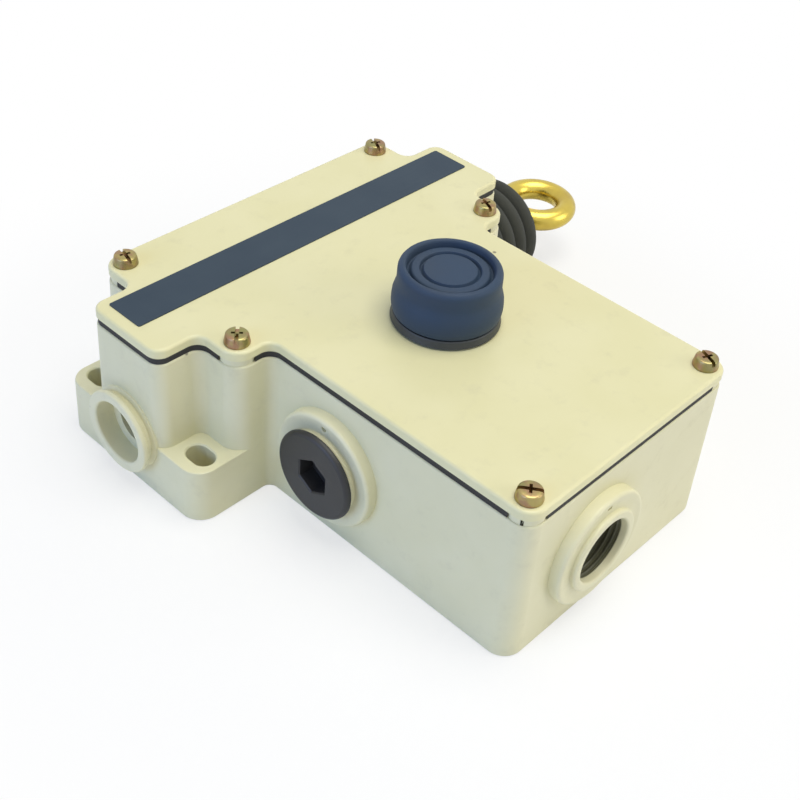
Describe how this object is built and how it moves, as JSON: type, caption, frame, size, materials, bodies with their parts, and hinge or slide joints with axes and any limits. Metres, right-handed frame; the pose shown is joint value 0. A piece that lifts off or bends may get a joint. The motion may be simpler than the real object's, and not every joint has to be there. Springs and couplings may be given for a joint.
{
  "type": "rope pull switch",
  "caption": "Cast rope pull switch with a screwed lid, a bellows-sealed pull rod with eye, cable entries, a sprung pull and a booted reset button over a latch and contact blocks.",
  "frame": {"origin": "on the mounting face, under the rope axis, half way along the head", "axes": "+X along the rope axis towards the eye, +Z out of the mounting face towards the lid, the cable box reaches towards -Y"},
  "size_m": [0.196, 0.1498, 0.0671],
  "materials": {
    "body_paint": "cream stove enamel on a die casting, satin",
    "lid_paint": "cream-yellow enamel, slightly glossier than the body",
    "gasket_rubber": "matt black moulded rubber",
    "black_rubber": "matt black moulded rubber bellows",
    "boot_rubber": "blue moulded rubber, satin",
    "band_blue": "dark blue anodised, bare",
    "black_plastic": "moulded black nylon",
    "bezel_plastic": "moulded black, semi-gloss",
    "white_plastic": "natural acetal",
    "red_plastic": "moulded red",
    "blue_plastic": "moulded blue",
    "eye_brass": "yellow passivated, bright, iridescent",
    "bush_brass": "turned",
    "contact_brass": "bright",
    "yellow_zinc": "yellow zinc plated, iridescent",
    "zinc_plate": "bright zinc plated",
    "bright_steel": "turned bright steel",
    "spring_steel": "drawn spring wire"
  },
  "bodies": {
    "housing_body": {"housing": "body_paint", "lid": "lid_paint", "lid_gasket": "gasket_rubber", "label_band": "band_blue", "lid_screws": "yellow_zinc", "blanking_plug": "black_plastic", "plug_seal": "gasket_rubber", "guide_bush": "bush_brass", "mechanism_frame": "zinc_plate", "rear_bush": "bush_brass", "frame_screws": "yellow_zinc", "contact_block_left": "black_plastic", "contact_block_right": "black_plastic", "terminal_plates": "contact_brass", "terminal_screws": "zinc_plate", "block_screws": "zinc_plate", "latch_pin": "bright_steel", "reset_bezel": "bezel_plastic", "reset_seal": "gasket_rubber", "reset_nut": "zinc_plate", "earth_screw": "contact_brass", "earth_washer": "zinc_plate"},
    "pull_rod_body": {"pull_rod": "bright_steel", "eye_bolt": "eye_brass", "eye_lock_nut": "eye_brass", "spring_collar": "bright_steel", "collar_circlip": "spring_steel", "cam_sleeve": "bright_steel", "cam_pin": "spring_steel", "gaiter": "black_rubber", "main_spring": "spring_steel"},
    "follower_body": {"follower_slide": "white_plastic", "contact_plungers": "red_plastic", "contact_bridges": "contact_brass"},
    "latch_body": {"latch_lever": "zinc_plate", "latch_spring": "spring_steel"},
    "reset_body": {"reset_cap": "blue_plastic", "reset_stem": "bright_steel", "reset_boot": "boot_rubber", "reset_spring": "spring_steel"}
  },
  "joints": [
    {"name": "pull_slide", "type": "slide", "parent": "housing_body", "child": "pull_rod_body", "axis": [1, 0, 0], "range_m": [0, 0.012], "stiffness_N_per_m": 4000, "deforming": ["gaiter", "main_spring"]},
    {"name": "follower_slide", "type": "slide", "parent": "housing_body", "child": "follower_body", "axis": [0, -1, 0], "range_m": [0, 0.003]},
    {"name": "latch_pivot", "type": "hinge", "parent": "housing_body", "child": "latch_body", "pos_m": [0, -0.038, 0.03], "axis": [1, 0, 0], "range_deg": [0, 15.2], "deforming": ["latch_spring"]},
    {"name": "reset_slide", "type": "slide", "parent": "housing_body", "child": "reset_body", "axis": [0, 0, -1], "range_m": [0, 0.0035], "stiffness_N_per_m": 1500, "deforming": ["reset_boot", "reset_spring"]}
  ],
  "couplings": [
    {"joint": "follower_slide", "follows": "pull_slide", "ratio": 0.25},
    {"joint": "latch_pivot", "follows": "reset_slide", "rad_per_m": 74.627}
  ]
}
